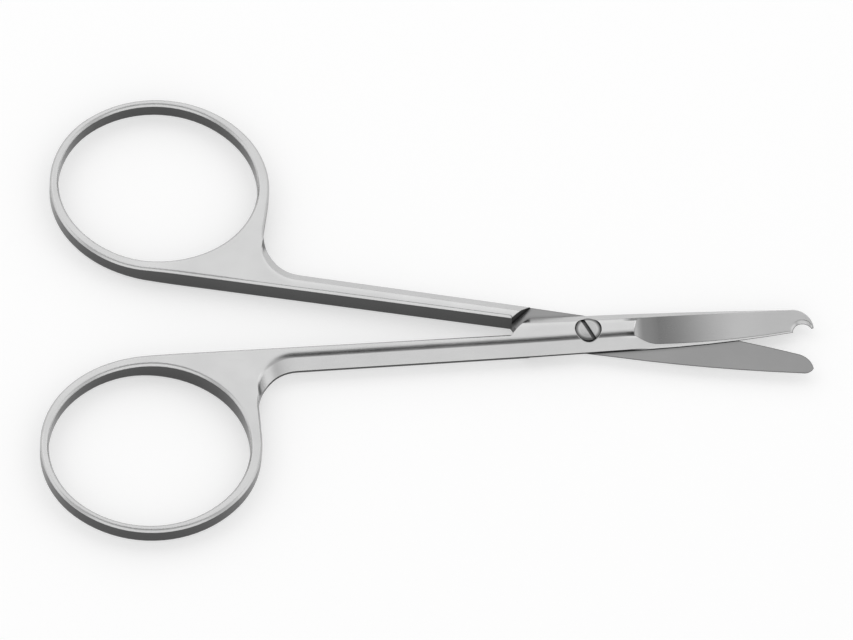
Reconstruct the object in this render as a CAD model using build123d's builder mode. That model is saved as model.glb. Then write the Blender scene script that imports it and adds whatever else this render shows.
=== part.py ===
from build123d import *
import os
from math import atan, cos, dist, radians, sin, sqrt, tan

# Small stitch scissors in millimetres: two forged halves lapped over each other and
# held by one slotted pivot screw. The origin is on the screw's axis at table level,
# +X runs to the blade tips, +Z is up, and +Y is the side of the plain half's ring.

# Heights
thickness = 2.8              # shanks and closed joint, underside to top
lap_clearance = 0.04         # between the two inner faces, so that the halves slide
ring_height = 2.2            # the finger rings are thinner than the shanks
side_bevel_height = 0.2      # narrow steep band above and below the parting line

# Finger rings, as they lie with the scissors closed
ring_reach = 51.0            # pivot to ring centre
ring_length = 25.2           # along the shank
ring_width = 23.5            # across the shank
ring_band = 1.15             # width of the band round the finger hole
finger_hole_shift = 0.2      # the band is thicker towards the web
ring_fall_reach = 47.0       # pivot to where the faces start to fall towards the ring
ring_fall_length = 6.0       # they reach the ring's height over this distance
ring_fall_turn = 48.0        # turn of the falling line from straight across the shank
ring_edge_bevel = 0.25       # along the ring's rims, the inner wall and the web

# Shanks
wall_offset = 0.15           # flat inner wall to the centre line, half the closed gap
shank_half_width = 2.85      # centre line to the parting line, beside the ring
web_corner_radius = 4.4      # sweep of the web between ring and shank
grinding_margin = 0.5        # what the grinding leaves alone stands this far inside it
web_side_lean = 0.4          # the ground side of the web fades out towards the top

# Joint
joint_half_width = 2.63
shoulder_reach = 8.75        # pivot to the end of the inner wall
shoulder_angle = 54.0        # shoulder wall, measured from the inner wall
lap_corner_angle = 49.5      # slanted end of the lap, measured from the inner wall

# Ground facets along shanks, joint and blade backs
facet_angle = 40.0           # from horizontal
side_bevel_inset = 0.08
crown_width = 0.9            # the top rounds off over this width before the facet's crease
crown_drop = 0.2
crown_strips = 5             # the crown is ground in this many narrow strips

# Blades, measured from the pivot and the centre line
blade_root_reach = 3.5
blade_root_half_width = 2.47
blade_middle_reach = 14.0
blade_middle_half_width = 2.18
grind_start = 5.2            # the outer face is ground down from here
grind_foot = 8.0             # foot of the ramp
grind_middle = 16.5
grind_end = 25.0
back_height_at_foot = 0.95   # blade thickness at its back, at the ramp's foot
back_height_at_middle = 0.70
back_height_at_end = 0.55
grind_back_line = 1.6        # these heights hold at this distance from the centre line
grind_tilt = 8.5             # the outer face falls towards the cutting edge
edge_bevel_angle = 42.0      # narrow bevel along the cutting edge, from horizontal

nose_bevel = 0.55            # most that the facets come in round the nose

plain_edge_reach = 24.0      # the plain blade's edge meets its round nose
plain_edge_offset = 1.22
plain_nose_reach = 26.08
plain_nose_offset = 0.50
plain_bend_reach = 25.75
plain_bend_offset = 0.98
plain_back_reach = 25.05
plain_back_offset = 1.27
plain_nose_bulge = 0.43      # the nose's long side stands this far out from a straight line

hook_edge_reach = 23.3       # the hooked blade's edge meets its notch
hook_edge_offset = 1.30
hook_point_reach = 25.90
hook_point_offset = 0.80
hook_bend_reach = 25.52
hook_bend_offset = 0.70
hook_back_reach = 23.7
hook_back_offset = 1.78
hook_nose_bulge = 0.10
notch_reach = 24.6
notch_offset = 1.35
notch_radius = 1.15          # at the inner face
notch_bevel_angle = 50.0     # the notch opens towards the outer face, from vertical

# Pivot screw
head_radius = 1.45
head_height = 0.95
head_dome = 0.14             # rise of the head's middle above its rim
head_sink = 0.02             # the dome's middle lies this far below the land
seat_clearance = 0.02        # under the head, so that the hooked half turns freely
head_clearance = 0.07
neck_radius = 0.9
neck_clearance = 0.04
slot_width = 0.45
slot_depth = 0.45
slot_angle = -60.0

# The whole scissors' opening as they lie, one half turned each way
opening_angle = 12.7

parting = thickness / 2
inner_face = parting + lap_clearance / 2
stub_margin = 2.0            # levels above the ground blade end this far past its ramp
blade_level = back_height_at_foot + 0.05
beyond = 40.0                # larger than any piece, for cutting tools


def side_inset(height):
    """How far the side facets have come in at a height above the parting line."""
    if height <= side_bevel_height:
        return side_bevel_inset * height / side_bevel_height
    return side_bevel_inset + (height - side_bevel_height) / tan(radians(facet_angle))


def crown_level(share):
    """Height and inset on the crown's arc, from its crease (share 0) to the flat (share 1)."""
    whole_angle = 2 * atan(crown_drop / crown_width)
    radius = crown_width / sin(whole_angle)
    angle = whole_angle * (1 - share)
    height = parting - radius * (1 - cos(angle))
    inset = side_inset(parting - crown_drop) + crown_width - radius * sin(angle)
    return height, inset


def ground_levels():
    """Height above the parting line and inset of each level of the ground sides and crown.

    The last level goes on above the flat, in line with the two before it.
    """
    levels = [(height, side_inset(height)) for height in (0.0, side_bevel_height, blade_level)]
    levels += [crown_level(strip / crown_strips) for strip in range(crown_strips)]
    below = levels[-1]
    flat = crown_level(1)
    levels.append((2 * flat[0] - below[0], 2 * flat[1] - below[1]))
    return levels


def lap_end(back_line):
    """Distance from the pivot at which the lap's slanted end meets a line along +X."""
    return shoulder_reach - (back_line + wall_offset) / tan(radians(lap_corner_angle))


def draw_oval(middle_x, middle_y, length, width, first_angle, last_angle):
    """Draw an oval of four tangent arcs that meet at 45 degrees, or a part of it."""
    shift = (length - width) / (4 - 2 * sqrt(2))
    for angle in (90, 180, 270, 360):
        if angle % 180 == 90:
            radius = width / 2 + shift
            reach = -shift
        else:
            radius = length / 2 - shift
            reach = shift
        start = max(first_angle, angle - 45)
        end = min(last_angle, angle + 45)
        middle = (middle_x + reach * cos(radians(angle)), middle_y + reach * sin(radians(angle)))
        CenterArc(middle, radius, start, end - start)


def draw_web_corner(web_side, shank_side):
    """Sweep from the shank's side round to the side of the web, which faces the pivot."""
    rise = web_corner_radius * (1 - cos(radians(45)))
    ThreePointArc(
        (web_side + web_corner_radius, shank_side),
        (web_side + rise, shank_side - rise),
        (web_side, shank_side - web_corner_radius),
    )


def draw_forging():
    """Outline of ring, web and inner wall, wide open round the joint and the blade."""
    ring_middle = -wall_offset - ring_width / 2
    web_side = ring_length / 2 - ring_reach
    shank_side = -shank_half_width - grinding_margin
    Polyline((-ring_reach, -wall_offset), (-shoulder_reach, -wall_offset), (-lap_end(beyond), beyond),
             (beyond, beyond), (beyond, shank_side), (web_side + web_corner_radius, shank_side))
    draw_web_corner(web_side, shank_side)
    Line((web_side, shank_side - web_corner_radius), (web_side, ring_middle))
    draw_oval(-ring_reach, ring_middle, ring_length, ring_width, 90, 360)


def draw_ground_handle(height, inset):
    """Web side, shank and joint as ground, at one level, with room round the ring."""
    far_end = -2 * beyond
    web_side = ring_length / 2 - ring_reach + grinding_margin - web_side_lean * height / parting
    shank_side = inset - shank_half_width
    joint_side = joint_half_width - inset
    root_side = blade_root_half_width - inset
    wall_line = grinding_margin - wall_offset
    lap_corner = (-lap_end(joint_side) - grinding_margin, joint_side)
    joint_front = (-lap_end(joint_half_width), -joint_side)
    Polyline((far_end, -beyond), (far_end, wall_line), (-lap_end(wall_line) - grinding_margin, wall_line),
             lap_corner, (blade_root_reach, root_side))
    Polyline((blade_root_reach, -root_side), joint_front, (web_side + web_corner_radius, shank_side))
    draw_web_corner(web_side, shank_side)
    Polyline((web_side, shank_side - web_corner_radius), (web_side, -beyond), (far_end, -beyond))


def move_in(corner, middle, inset):
    """A corner moved towards the middle by the inset."""
    share = inset / dist(corner, middle)
    return tuple(start + (end - start) * share for start, end in zip(corner, middle))


def draw_blade(height, inset, back, bend, point, edge, bulge):
    """One blade at one level: back towards +Y, cutting edge towards -Y.

    back, bend, point and edge are (reach, offset) where the back meets the nose, on the
    nose's bend, at its point, and where the cutting edge begins. From the point to the
    cutting edge the nose bulges out by the last value.
    """
    edge_inset = height / tan(radians(edge_bevel_angle))
    nose_inset = min(inset, nose_bevel)
    edge_end_inset = min(edge_inset, nose_bevel)
    root = blade_root_half_width - inset
    side = blade_middle_half_width - inset
    nose_middle = ((back[0] + edge[0]) / 2, (back[1] + edge[1]) / 2)
    back_end = (back[0], back[1] - nose_inset)
    nose_bend = move_in(bend, nose_middle, nose_inset)
    nose_point = move_in(point, nose_middle, nose_inset)
    edge_end = (edge[0], edge[1] + edge_end_inset)
    edge_middle = (blade_middle_reach, edge_inset - blade_middle_half_width)
    chord = dist(nose_point, edge_end)
    nose_side = (
        (nose_point[0] + edge_end[0]) / 2 + (nose_point[1] - edge_end[1]) * bulge / chord,
        (nose_point[1] + edge_end[1]) / 2 - (nose_point[0] - edge_end[0]) * bulge / chord,
    )
    ThreePointArc((blade_root_reach, root), (blade_middle_reach, side), back_end)
    ThreePointArc(back_end, nose_bend, nose_point)
    ThreePointArc(nose_point, nose_side, edge_end)
    ThreePointArc(edge_end, edge_middle, (blade_root_reach, -root))


def draw_blade_stub(inset):
    """The blade at a level that the grind takes away, so it ends just past the ramp."""
    root = blade_root_half_width - inset
    end_reach = grind_foot + stub_margin
    Polyline((blade_root_reach, root), (end_reach, root), (end_reach + root, 0), (end_reach, -root),
             (blade_root_reach, -root))


def shoulder_side(reach_beyond):
    """Corners of the region on the blade side of the shoulder's slanted wall."""
    run = reach_beyond / tan(radians(shoulder_angle))
    return [
        (-shoulder_reach, -wall_offset),
        (run - shoulder_reach, -wall_offset - reach_beyond),
        (beyond, -wall_offset - reach_beyond),
        (beyond, beyond),
        (-shoulder_reach, beyond),
    ]


def draw_ring_relief(side):
    """Draw the space that thins the ring, on top (side 1) or underneath (side -1)."""
    face = parting + side * thickness / 2
    low = parting + side * ring_height / 2
    outside = parting + side * thickness
    turn = (-ring_fall_length / 2, (face + low) / 2)
    fall_end = (-ring_fall_length, low)
    TangentArc((0, face), turn, tangent=(-1, 0))
    TangentArc(fall_end, turn, tangent=(1, 0))
    Polyline(fall_end, (-2 * beyond, low), (-2 * beyond, outside), (0, outside), (0, face))


def draw_grind(ramp_top):
    """Draw the space above the ground blade: ramp, slightly hollow face, and free space.

    Heights are measured above the inner face on the grinding plane's back line.
    """
    foot = (grind_foot, back_height_at_foot)
    face_middle = (grind_middle, back_height_at_middle)
    face_end = (grind_end, back_height_at_end)
    ramp_start = (grind_start, ramp_top)
    run = grind_end - grind_middle
    far_end = (face_end[0] + run, face_end[1])
    ThreePointArc(foot, face_middle, face_end)
    foot_slope = (back_height_at_foot - back_height_at_middle) / (grind_middle - grind_foot)
    TangentArc(foot, ramp_start, tangent=(-1, foot_slope))
    Polyline(face_end, far_end, (far_end[0], 2 * thickness), (grind_start, 2 * thickness), ramp_start)


def is_face_edge(edge):
    """Whether an edge lies in or near the upper or lower face, not up the side."""
    return abs((edge @ 0.5).Z - parting) > ring_height / 4


def runs_round_ring(edge):
    """Whether an edge is in the chain from the inner wall round the ring to the web."""
    middle = edge @ 0.5
    return middle.X < -shoulder_reach and -beyond < middle.Y < wall_offset


def make_forging():
    """Ring, web and inner wall with bevelled edges; joint and blade are still a slab."""
    with BuildPart() as forging:
        with BuildSketch():
            with BuildLine():
                draw_forging()
            make_face()
        extrude(amount=thickness)
        # the faces fall towards the ring along a line across the web
        turn = radians(ring_fall_turn)
        fall = Plane(
            origin=(-ring_fall_reach, -wall_offset, 0),
            x_dir=(cos(turn), sin(turn), 0),
            z_dir=(sin(turn), -cos(turn), 0),
        )
        for side in (1, -1):
            with BuildSketch(fall.offset(-beyond)):
                with BuildLine():
                    draw_ring_relief(side)
                make_face()
            extrude(amount=2 * beyond, mode=Mode.SUBTRACT)
        outside = forging.edges().filter_by(is_face_edge).filter_by(runs_round_ring)
        chamfer(outside, length=ring_edge_bevel)
        with BuildSketch():
            with BuildLine():
                draw_oval(
                    -ring_reach - finger_hole_shift,
                    -wall_offset - ring_width / 2 - finger_hole_shift,
                    ring_length - 2 * ring_band,
                    ring_width - 2 * ring_band,
                    45,
                    405,
                )
            make_face()
        extrude(amount=thickness, mode=Mode.SUBTRACT)
        chamfer(forging.edges(Select.LAST).filter_by(is_face_edge), length=ring_edge_bevel)
    return forging.part


def make_ground_half(*blade_outline):
    """Shank facets, crowned land and blade of one half, open round the ring."""
    with BuildPart() as half:
        for side in (1, -1):
            for height, inset in ground_levels():
                with BuildSketch(Plane.XY.offset(parting + side * height)):
                    with BuildLine():
                        draw_ground_handle(height, inset)
                        if height > blade_level:
                            draw_blade_stub(inset)
                        else:
                            draw_blade(height, inset, *blade_outline)
                    make_face()
            loft(ruled=True)
    return half.part


def forged_half(*blade_outline):
    """One half before drilling: outer face up, ring and cutting edge towards -Y."""
    with BuildPart() as half:
        add(make_forging())
        add(make_ground_half(*blade_outline), mode=Mode.INTERSECT)
        # below the inner face everything goes from the shoulder to the tip
        with BuildSketch(Plane.XY.offset(inner_face)):
            with BuildLine():
                Polyline(*shoulder_side(beyond / 2), close=True)
            make_face()
        extrude(amount=-thickness, mode=Mode.SUBTRACT)
        # the outer face of the blade is ground to a wedge behind a short ramp
        slope = tan(radians(grind_tilt))
        grind_plane = Plane(
            origin=(0, grind_back_line, parting),
            x_dir=(1, 0, 0),
            z_dir=(0, -cos(radians(grind_tilt)), -sin(radians(grind_tilt))),
        )
        with BuildSketch(grind_plane.offset(-beyond / 2)):
            with BuildLine():
                draw_grind(parting + slope * grind_back_line)
            make_face()
        extrude(amount=beyond, mode=Mode.SUBTRACT)
    return half.part


plain_blank = forged_half(
    (plain_back_reach, plain_back_offset),
    (plain_bend_reach, plain_bend_offset),
    (plain_nose_reach, plain_nose_offset),
    (plain_edge_reach, -plain_edge_offset),
    plain_nose_bulge,
)
hooked_blank = forged_half(
    (hook_back_reach, hook_back_offset),
    (hook_bend_reach, hook_bend_offset),
    (hook_point_reach, -hook_point_offset),
    (hook_edge_reach, -hook_edge_offset),
    hook_nose_bulge,
)

with BuildPart() as plain_blade_half:
    add(plain_blank.rotate(Axis((0, 0, parting), (1, 0, 0)), 180).rotate(Axis.Z, -opening_angle / 2))
    with BuildSketch():
        Circle(neck_radius)
    extrude(amount=thickness, mode=Mode.SUBTRACT)

head_seat = thickness - head_sink - head_height
with BuildPart() as hooked_blade_half:
    add(hooked_blank.rotate(Axis.Z, opening_angle / 2))
    # the hook: a round notch that opens towards the outer face
    with BuildSketch(Plane.XY.rotated((0, 0, opening_angle / 2)).offset(inner_face)):
        with Locations((notch_reach, -notch_offset)):
            Circle(notch_radius)
    extrude(amount=parting, taper=-notch_bevel_angle, mode=Mode.SUBTRACT)
    with BuildSketch():
        Circle(neck_radius + neck_clearance)
    extrude(amount=thickness, mode=Mode.SUBTRACT)
    with BuildSketch(Plane.XY.offset(head_seat - seat_clearance)):
        Circle(head_radius + head_clearance)
    extrude(amount=thickness, mode=Mode.SUBTRACT)

with BuildPart() as pivot_screw:
    with BuildSketch(Plane.XZ):
        with BuildLine():
            head_top = head_seat + head_height
            Polyline((0, head_top), (0, 0), (neck_radius, 0), (neck_radius, head_seat),
                     (head_radius, head_seat), (head_radius, head_top - head_dome))
            TangentArc((0, head_top), (head_radius, head_top - head_dome), tangent=(1, 0))
        make_face()
    revolve(axis=Axis.Z)
    with BuildSketch(Plane.XY.offset(head_top - slot_depth)):
        Rectangle(3 * head_radius, slot_width, rotation=slot_angle)
    extrude(amount=thickness, mode=Mode.SUBTRACT)

plain_blade_half.part.label = "plain_blade_half"
hooked_blade_half.part.label = "hooked_blade_half"
pivot_screw.part.label = "pivot_screw"
os.makedirs("parts", exist_ok=True)
export_step(plain_blade_half.part, "parts/plain_blade_half.step")
export_step(hooked_blade_half.part, "parts/hooked_blade_half.step")
export_step(pivot_screw.part, "parts/pivot_screw.step")
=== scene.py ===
from math import cos, radians, sin

import bpy
from mathutils import Matrix, Vector


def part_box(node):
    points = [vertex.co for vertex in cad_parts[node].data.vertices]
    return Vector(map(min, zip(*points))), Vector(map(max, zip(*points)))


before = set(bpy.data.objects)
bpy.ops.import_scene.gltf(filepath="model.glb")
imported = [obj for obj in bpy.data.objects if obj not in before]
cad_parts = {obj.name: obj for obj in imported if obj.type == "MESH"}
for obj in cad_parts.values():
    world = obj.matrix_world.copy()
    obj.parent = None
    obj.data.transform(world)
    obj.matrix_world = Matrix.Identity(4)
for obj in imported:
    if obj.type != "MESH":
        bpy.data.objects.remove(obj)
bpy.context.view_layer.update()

# Small suture scissors on a pale table. Lengths are in metres, in the model's own frame:
# origin on the pivot's axis at table level, +X to the blade tips, +Z up.

millimetre = 0.001

# The photograph's camera
image_width = 853
image_height = 640
lens = 600.0
sensor = 36.0
camera_elevation = 57.5
camera_azimuth = -3.1
camera_roll = 4.8
pixels_per_millimetre = 8.77
screw_pixel = (588.3, 328.4)

# Room and lights
floor_glow = 0.50            # what the floor adds for eyes and mirrors, up to about white
floor_colour = (0.60, 0.60, 0.60, 1)
floor_half_width = 3.0
floor_drop = 0.00002         # the floor lies this far under the scissors
room_light = 0.48            # what the room sheds on dull surfaces
room_white = 0.93            # what it shows at the horizon
room_overhead = 0.70         # and higher up
fade_start = 0.1             # heights in the room are sines of the elevation
fade_end = 0.8
ceiling_start = 0.93
ceiling_end = 0.985
dark_ceiling = 0.06          # share of room_overhead that shows straight overhead
white = (1, 1, 1, 1)
lamp_power = 3.14159         # power of a flat lamp of area 1 and radiance 1
# name, azimuth and elevation in degrees, distance, width, height, radiance
softboxes = (
    ("back_softbox", 180, 48, 1.0, 2.2, 1.30, 0.58),
    ("front_softbox", 0, 28, 1.0, 1.8, 0.73, 0.50),
    ("right_softbox", 100, 28, 1.2, 1.2, 0.8, 0.45),
    ("left_softbox", -100, 28, 1.2, 1.2, 0.8, 0.45),
)

# Noise values run from about low to about high
noise_low = 0.3
noise_high = 0.7

# Steel of the halves; a level is the upward part of the normal, 1 on a flat face and 0 on a wall
half_opening = 6.35          # degrees between each half and +X
steel_tone_low = 0.49
steel_tone_high = 0.54
steel_roughness = 0.24
roughness_swing = 0.02       # of the clouds, and again of the grinding lines
inner_roughness = 0.08       # added on the inner faces
grinding_scale = (500, 7000, 7000)
cloud_scale = 180.0
line_bump = 0.05
bump_height = 0.00001
joint_middle = 0.0014
inner_face_depth = 0.00004   # the inner faces lie this close to the joint's middle height
ground_face_depth = 0.00135  # and the ground outer faces of the blades within this
slope_level = 0.8            # up to here a face slopes
flat_level = 0.95            # and from here it is flat
wall_level = 0.45            # up to here a face is a side
side_end_level = 0.60
edge_bevel_level = 0.743     # level of the cutting edge's bevel
bevel_near = 0.008
bevel_far = 0.02
blade_start = 0.004          # the blade begins between these two distances from the pivot
blade_full = 0.005
ring_full = -0.042           # the ring's rounding gives way to the shank's between these two
ring_end = -0.038
edge_rounding = 0.00012
ring_rounding = 0.00030      # the rings are polished round
rounding_samples = 8
# painted shade: dark lines along sharp edges
edge_line_width = 0.00016
edge_line_samples = 6
edge_line_bend = 0.72        # dot product of the rounded and the true normal at a sharp edge
edge_line_end = 0.90
edge_line_shade_tone = 0.35
# painted shade in the narrow gaps
gap_shade_reach = 0.0005
gap_shade_samples = 6
gap_closed = 0.5             # open air of a gap that is fully dark
gap_open = 0.95
gap_shade_tone = 0.10

# Painted shade, reflection and highlight on the halves, and the darker inner faces, as shares of the plain
# steel's tone
inner_face_tone = 0.50          # faces that slide on each other
ramp_painted_reflection = 0.35           # painted dark reflection on a blade's ground outer face, where the grind starts
ramp_foot = 0.0075           # and the distances between which it clears
ramp_clear = 0.0180
edge_bevel_highlight = 1.05           # painted highlight on the cutting edge's bevel
side_painted_shade = 0.16           # painted shade on the upright sides

# Steel of the screw
screw_tone_low = 0.36
screw_tone_high = 0.46
screw_cloud_scale = 400.0
screw_rim_start = 0.00105    # painted shade darkens its rim between these two radii, next to the gap round the head
screw_rim_end = 0.00132
screw_rim_shade_tone = 0.35
slot_shade_level = 0.00262   # its slot lies below this, and painted shade darkens it
slot_shade_fade = 0.0001
slot_shade_tone = 0.22
turning_scale = 20000.0
turning_bump = 0.10
screw_roughness_low = 0.24
screw_roughness_high = 0.34


def node(tree, kind, inputs=None, **settings):
    """Add a shader node with settings, and values or links for its inputs."""
    made = tree.nodes.new(kind)
    for name, value in settings.items():
        setattr(made, name, value)
    for name, value in (inputs or {}).items():
        socket = made.inputs[name]
        if isinstance(value, bpy.types.NodeSocket):
            tree.links.new(value, socket)
        else:
            socket.default_value = value
    return made


def math(tree, operation, first, second=0.0, clamp=False):
    """The output of a math node."""
    made = node(tree, "ShaderNodeMath", {0: first, 1: second}, operation=operation, use_clamp=clamp)
    return made.outputs[0]


def map_range(tree, value, low, high, to_low, to_high, smooth=False):
    """A value carried from one range to another, kept inside it."""
    kind = "SMOOTHSTEP" if smooth else "LINEAR"
    inputs = {"Value": value, "From Min": low, "From Max": high, "To Min": to_low, "To Max": to_high}
    return node(tree, "ShaderNodeMapRange", inputs, interpolation_type=kind).outputs["Result"]


def empty_material(name):
    material = bpy.data.materials.new(name)
    material.use_nodes = True
    material.node_tree.nodes.clear()
    return material, material.node_tree


def place_camera():
    """Put the camera where the photograph was taken from, so that the screw lands on its pixel."""
    elevation = radians(camera_elevation)
    azimuth = radians(camera_azimuth)
    roll = radians(camera_roll)
    back = Vector((sin(azimuth) * cos(elevation), -cos(azimuth) * cos(elevation), sin(elevation)))
    level = Vector((cos(azimuth), sin(azimuth), 0))
    rise = back.cross(level)
    right = level * cos(roll) + rise * sin(roll)
    up = rise * cos(roll) - level * sin(roll)
    pixel = millimetre / pixels_per_millimetre
    screw_top = Vector((0, 0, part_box("hooked_blade_half")[1].z))
    target = screw_top - right * (screw_pixel[0] - image_width / 2) * pixel
    target -= up * (image_height / 2 - screw_pixel[1]) * pixel
    distance = lens / sensor * image_width * pixel
    data = bpy.data.cameras.new("camera")
    data.lens = lens
    data.sensor_width = sensor
    data.clip_start = distance / 100
    data.clip_end = distance * 20
    camera = bpy.data.objects.new("camera", data)
    bpy.context.scene.collection.objects.link(camera)
    turn = Matrix((right, up, back)).transposed().to_4x4()
    camera.matrix_world = Matrix.Translation(target + back * distance) @ turn
    bpy.context.scene.camera = camera


def combine(tree, tone):
    """A neutral colour of the given tone."""
    return node(tree, "ShaderNodeCombineColor", {"Red": tone, "Green": tone, "Blue": tone}).outputs[0]


def mix(tree, share, first, second):
    """first where the share is 0, second where it is 1."""
    return node(tree, "ShaderNodeMix", {"Factor": share, 2: first, 3: second}, data_type="FLOAT").outputs[0]


def noise(tree, place, scale, detail):
    """Noise in space, from 0 to 1."""
    inputs = {"Vector": place, "Scale": scale, "Detail": detail}
    return node(tree, "ShaderNodeTexNoise", inputs).outputs["Fac"]


def make_steel(name, turn):
    """Satin ground stainless steel of one half, which lies turned about +Z, with painted shade on its sides,
    in its gaps and along its edges, and a painted reflection and highlight on its blade.
    """
    material, tree = empty_material(name)
    place = node(tree, "ShaderNodeTexCoord")
    turned_back = {"Vector": place.outputs["Object"], "Rotation": (0, 0, -turn)}
    spot = node(tree, "ShaderNodeMapping", turned_back).outputs[0]
    axes = node(tree, "ShaderNodeSeparateXYZ", {0: spot}).outputs
    facing = node(tree, "ShaderNodeSeparateXYZ", {0: place.outputs["Normal"]}).outputs
    level = math(tree, "ABSOLUTE", facing["Z"])
    off_middle = math(tree, "ABSOLUTE", math(tree, "SUBTRACT", axes["Z"], joint_middle))
    stretched = node(tree, "ShaderNodeMapping", {"Vector": spot, "Scale": grinding_scale}).outputs[0]
    lines = noise(tree, stretched, 1.0, 4.0)
    cloud = noise(tree, spot, cloud_scale, 5.0)
    tone = map_range(tree, cloud, noise_low, noise_high, steel_tone_low, steel_tone_high)

    # the two faces that slide on each other are darker and rougher
    flat = map_range(tree, level, slope_level, flat_level, 0.0, 1.0)
    inner = math(tree, "MULTIPLY", math(tree, "LESS_THAN", off_middle, inner_face_depth), flat)
    tone = math(tree, "MULTIPLY", tone, mix(tree, inner, 1.0, inner_face_tone))

    # painted dark reflection on the outer face of a blade, darkest where its grind starts, and a painted
    # highlight on its cutting edge's bevel
    on_blade = map_range(tree, axes["X"], blade_start, blade_full, 0.0, 1.0)
    outer = math(tree, "MULTIPLY", math(tree, "SUBTRACT", flat, inner),
                 math(tree, "LESS_THAN", off_middle, ground_face_depth))
    outer = math(tree, "MULTIPLY", outer, on_blade)
    painted_ramp_reflection = map_range(tree, axes["X"], ramp_foot, ramp_clear, ramp_painted_reflection, 1.0, smooth=True)
    tone = math(tree, "MULTIPLY", tone, mix(tree, outer, 1.0, painted_ramp_reflection))
    off_bevel = math(tree, "ABSOLUTE", math(tree, "SUBTRACT", level, edge_bevel_level))
    bevel = math(tree, "MULTIPLY", map_range(tree, off_bevel, bevel_near, bevel_far, 1.0, 0.0), on_blade)
    tone = math(tree, "MULTIPLY", tone, mix(tree, bevel, 1.0, edge_bevel_highlight))

    # painted shade: the upright sides are darker than the ground faces
    wall = map_range(tree, level, wall_level, side_end_level, 1.0, 0.0, smooth=True)
    tone = math(tree, "MULTIPLY", tone, mix(tree, wall, 1.0, side_painted_shade))

    # painted shade in the narrow gaps, and painted dark lines along sharp edges
    reach = {"Distance": gap_shade_reach}
    occlusion = node(tree, "ShaderNodeAmbientOcclusion", reach, samples=gap_shade_samples)
    painted_gap_shade = map_range(tree, occlusion.outputs["AO"], gap_closed, gap_open, gap_shade_tone, 1.0)
    tone = math(tree, "MULTIPLY", tone, painted_gap_shade)
    rounding = map_range(tree, axes["X"], ring_full, ring_end, ring_rounding, edge_rounding)
    rounded = node(tree, "ShaderNodeBevel", {"Radius": rounding}, samples=rounding_samples).outputs[0]
    true_normal = node(tree, "ShaderNodeNewGeometry").outputs["True Normal"]
    width = {"Radius": edge_line_width}
    line_normal = node(tree, "ShaderNodeBevel", width, samples=edge_line_samples).outputs[0]
    sameness = node(tree, "ShaderNodeVectorMath", {0: line_normal, 1: true_normal}, operation="DOT_PRODUCT")
    edge_line = map_range(tree, sameness.outputs["Value"], edge_line_bend, edge_line_end, edge_line_shade_tone, 1.0)
    tone = math(tree, "MULTIPLY", tone, edge_line)

    smoothest = steel_roughness - roughness_swing
    roughest = steel_roughness + roughness_swing
    rough = math(tree, "ADD", map_range(tree, cloud, noise_low, noise_high, smoothest, roughest),
                 map_range(tree, lines, noise_low, noise_high, -roughness_swing, roughness_swing))
    rough = math(tree, "ADD", rough, math(tree, "MULTIPLY", inner, inner_roughness))
    ground = {"Height": lines, "Strength": line_bump, "Distance": bump_height, "Normal": rounded}
    bump = node(tree, "ShaderNodeBump", ground)
    shader = node(tree, "ShaderNodeBsdfPrincipled", {
        "Base Color": combine(tree, tone), "Metallic": 1.0, "Roughness": rough, "Normal": bump.outputs[0],
    })
    node(tree, "ShaderNodeOutputMaterial", {"Surface": shader.outputs[0]})
    return material


def make_screw_steel():
    """Turned stainless steel, with painted shade in its slot and a painted dark rim round the head."""
    material, tree = empty_material("screw_satin_steel")
    spot = node(tree, "ShaderNodeTexCoord").outputs["Object"]
    axes = node(tree, "ShaderNodeSeparateXYZ", {0: spot}).outputs
    across = node(tree, "ShaderNodeCombineXYZ", {"X": axes["X"], "Y": axes["Y"]}).outputs[0]
    radius = node(tree, "ShaderNodeVectorMath", {0: across}, operation="LENGTH").outputs["Value"]
    cloud = noise(tree, spot, screw_cloud_scale, 5.0)
    tone = map_range(tree, cloud, noise_low, noise_high, screw_tone_low, screw_tone_high)
    # painted shade on the rim round the head
    rim = map_range(tree, radius, screw_rim_start, screw_rim_end, 1.0, screw_rim_shade_tone, smooth=True)
    tone = math(tree, "MULTIPLY", tone, rim)
    # painted shade in the slot
    slot_floor = slot_shade_level - slot_shade_fade
    slot = map_range(tree, axes["Z"], slot_floor, slot_shade_level, slot_shade_tone, 1.0)
    tone = math(tree, "MULTIPLY", tone, slot)
    turning = {"W": math(tree, "MULTIPLY", radius, turning_scale), "Scale": 1.0}
    turned = node(tree, "ShaderNodeTexNoise", turning, noise_dimensions="1D").outputs["Fac"]
    rounded = node(tree, "ShaderNodeBevel", {"Radius": edge_rounding}, samples=rounding_samples).outputs[0]
    grooves = {"Height": turned, "Strength": turning_bump, "Distance": bump_height, "Normal": rounded}
    bump = node(tree, "ShaderNodeBump", grooves)
    rough = map_range(tree, turned, noise_low, noise_high, screw_roughness_low, screw_roughness_high)
    shader = node(tree, "ShaderNodeBsdfPrincipled", {
        "Base Color": combine(tree, tone), "Metallic": 1.0, "Roughness": rough, "Normal": bump.outputs[0],
    })
    node(tree, "ShaderNodeOutputMaterial", {"Surface": shader.outputs[0]})
    return material


def finish_part(name, material):
    """Give a CAD part its material in every slot."""
    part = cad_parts[name]
    part.data.materials.clear()
    part.data.materials.append(material)


def background_rays(tree):
    """1 for the rays that show the background, straight or in metal or glass."""
    rays = node(tree, "ShaderNodeLightPath").outputs
    seen = math(tree, "ADD", rays["Is Camera Ray"], rays["Is Glossy Ray"])
    return math(tree, "ADD", seen, rays["Is Transmission Ray"], clamp=True)


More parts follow.
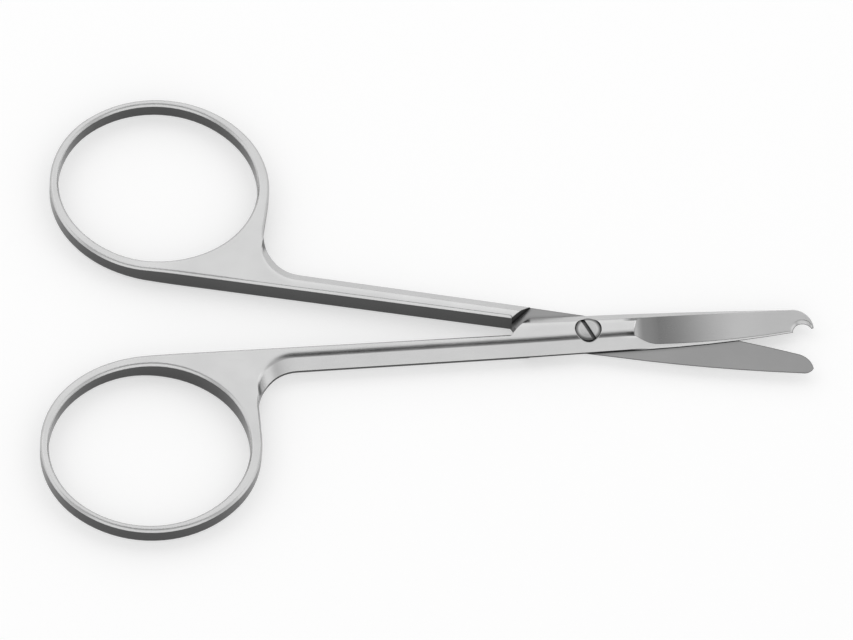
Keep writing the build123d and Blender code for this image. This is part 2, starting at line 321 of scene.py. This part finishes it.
def make_floor():
    """A wide pale floor that shows white and keeps the scissors' shadow."""
    half = floor_half_width
    mesh = bpy.data.meshes.new("floor")
    corners = [(-half, -half, 0), (half, -half, 0), (half, half, 0), (-half, half, 0)]
    mesh.from_pydata(corners, [], [(0, 1, 2, 3)])
    floor = bpy.data.objects.new("floor", mesh)
    bpy.context.scene.collection.objects.link(floor)
    floor.location.z = -floor_drop
    material, tree = empty_material("floor_paint")
    glow_share = math(tree, "MULTIPLY", background_rays(tree), floor_glow)
    glow = node(tree, "ShaderNodeEmission", {"Color": white, "Strength": glow_share})
    paint = node(tree, "ShaderNodeBsdfDiffuse", {"Color": floor_colour})
    both = node(tree, "ShaderNodeAddShader", {0: paint.outputs[0], 1: glow.outputs[0]})
    node(tree, "ShaderNodeOutputMaterial", {"Surface": both.outputs[0]})
    mesh.materials.append(material)


def add_softbox(name, azimuth, elevation, distance, width, height, radiance):
    """A softbox that faces the scissors, from a direction round and above them."""
    a = radians(azimuth)
    e = radians(elevation)
    back = Vector((sin(a) * cos(e), -cos(a) * cos(e), sin(e)))
    data = bpy.data.lights.new(name, "AREA")
    data.shape = "RECTANGLE"
    data.size = width
    data.size_y = height
    data.energy = radiance * width * height * lamp_power
    box = bpy.data.objects.new(name, data)
    bpy.context.scene.collection.objects.link(box)
    box.location = back * distance
    box.rotation_mode = "QUATERNION"
    box.rotation_quaternion = back.to_track_quat("Z", "Y")
    box.visible_camera = False


def light_world():
    """An even, dim room, which itself looks white at the horizon and has a dark ceiling."""
    world = bpy.data.worlds.new("room")
    bpy.context.scene.world = world
    world.use_nodes = True
    tree = world.node_tree
    tree.nodes.clear()
    way = node(tree, "ShaderNodeTexCoord").outputs["Generated"]
    height = node(tree, "ShaderNodeSeparateXYZ", {0: way}).outputs["Z"]
    shown = map_range(tree, height, fade_start, fade_end, room_white, room_overhead)
    ceiling = map_range(tree, height, ceiling_start, ceiling_end, 1.0, dark_ceiling, smooth=True)
    shown = math(tree, "MULTIPLY", shown, ceiling)
    strength = mix(tree, background_rays(tree), room_light, shown)
    room = node(tree, "ShaderNodeBackground", {"Color": white, "Strength": strength})
    node(tree, "ShaderNodeOutputWorld", {"Surface": room.outputs[0]})


place_camera()
make_floor()
light_world()
for softbox in softboxes:
    add_softbox(*softbox)
half_turn = radians(half_opening)
finish_part("plain_blade_half", make_steel("plain_half_satin_steel", -half_turn))
finish_part("hooked_blade_half", make_steel("hooked_half_satin_steel", half_turn))
finish_part("pivot_screw", make_screw_steel())

bpy.context.scene.view_settings.view_transform = "Standard"
